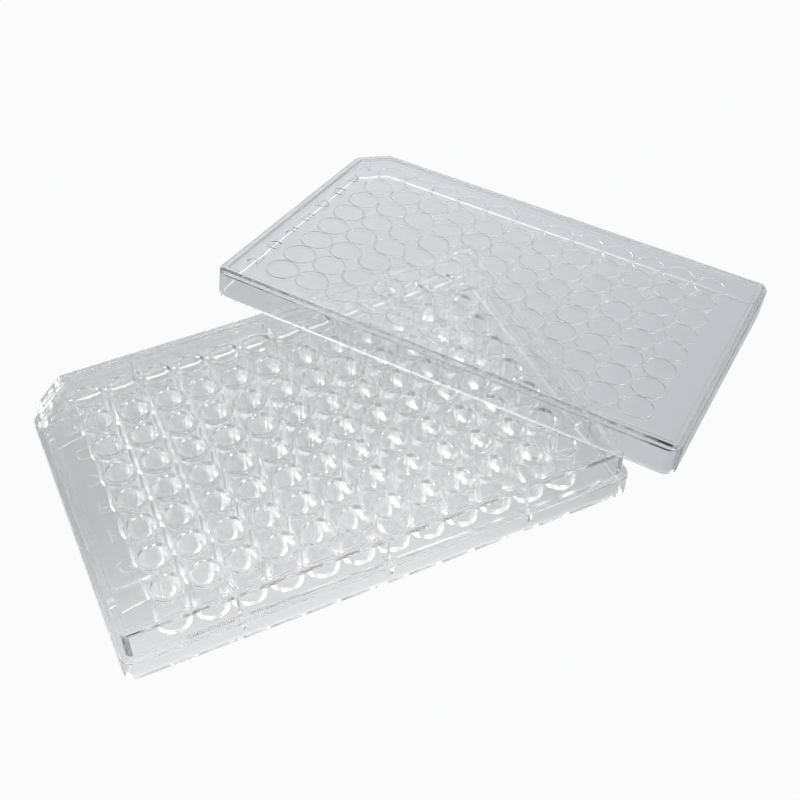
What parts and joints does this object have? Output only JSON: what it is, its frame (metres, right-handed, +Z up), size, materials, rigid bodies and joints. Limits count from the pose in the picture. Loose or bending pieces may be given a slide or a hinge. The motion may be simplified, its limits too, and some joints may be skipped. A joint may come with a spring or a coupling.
{
  "type": "well plate",
  "caption": "Clear polystyrene well plate standing flat, its one-piece lid taken off, turned and leaning on its rim",
  "frame": {"origin": "centre of the plate's footprint, on the surface it stands on", "axes": "+X along the plate's rows from column 1 to column 12, +Y towards row A, +Z up"},
  "size_m": [0.197, 0.1467, 0.0259],
  "materials": {
    "plate_polystyrene": "clear injection-moulded polystyrene, glossy",
    "lid_polystyrene": "clear injection-moulded polystyrene, glossy"
  },
  "bodies": {
    "root": {"plate": "plate_polystyrene", "lid": "lid_polystyrene"}
  },
  "joints": []
}
